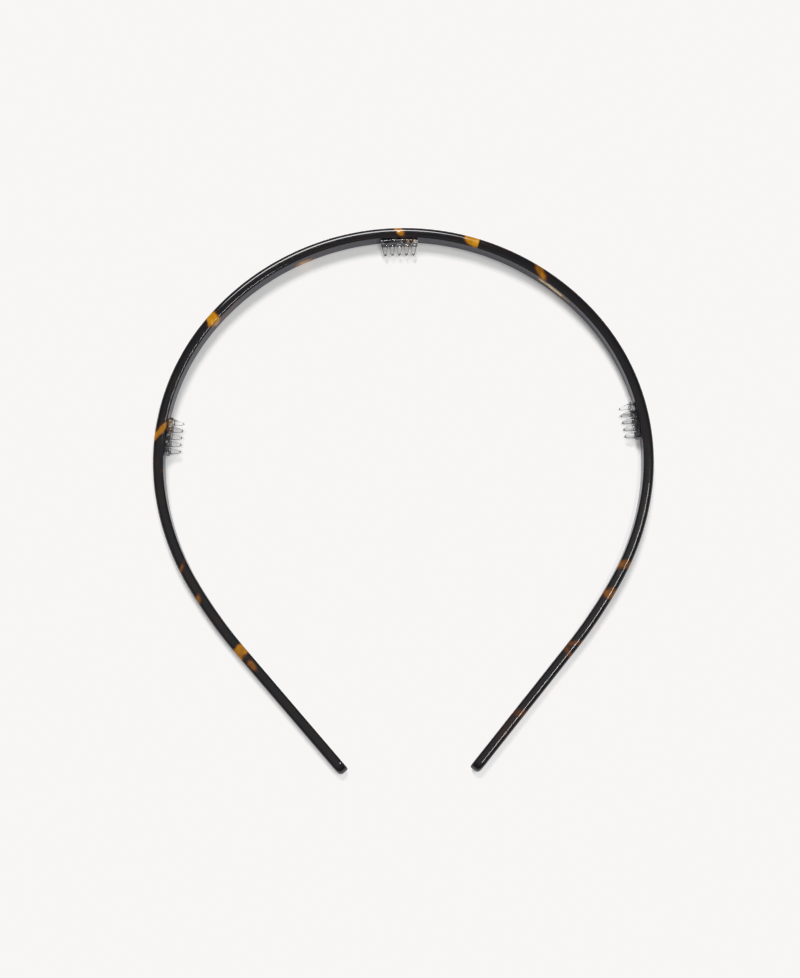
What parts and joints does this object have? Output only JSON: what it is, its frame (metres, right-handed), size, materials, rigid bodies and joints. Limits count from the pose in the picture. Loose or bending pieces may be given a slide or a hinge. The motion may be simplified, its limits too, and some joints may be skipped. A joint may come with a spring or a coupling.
{
  "type": "headband",
  "caption": "Narrow rigid headband bent from flat tortoiseshell sheet, open at the back with rounded tongue ends, and small clear combs bonded inside at the crown and both sides.",
  "frame": {"origin": "middle of the space the band takes up, at the flat edge that it lies on", "axes": "+Z across the strip's width, from the edge it lies on to the other edge; +Y from the open ends towards the middle of the crown; +X towards the right arm as seen from above with the crown away from the viewer"},
  "size_m": [0.14, 0.154, 0.006],
  "materials": {
    "tortoiseshell": "polished cellulose acetate, near-black brown with clear amber patches",
    "clear_comb": "clear moulded plastic, glossy",
    "cured_glue": "clear cured adhesive"
  },
  "bodies": {
    "crown": {"band_crown": "tortoiseshell", "comb_top": "clear_comb", "glue_top": "cured_glue"},
    "right_arm": {"band_right_arm": "tortoiseshell", "comb_right": "clear_comb", "glue_right": "cured_glue"},
    "left_arm": {"band_left_arm": "tortoiseshell", "comb_left": "clear_comb", "glue_left": "cured_glue"}
  },
  "joints": [
    {"name": "right_arm_flex", "type": "hinge", "parent": "crown", "child": "right_arm", "pos_m": [0.05401, 0.05033, 0.003], "axis": [0, 0, 1], "range_deg": [-6, 25], "stiffness_Nm_per_rad": 0.2},
    {"name": "left_arm_flex", "type": "hinge", "parent": "crown", "child": "left_arm", "pos_m": [-0.05401, 0.05033, 0.003], "axis": [0, 0, -1], "range_deg": [-6, 25], "stiffness_Nm_per_rad": 0.2}
  ]
}
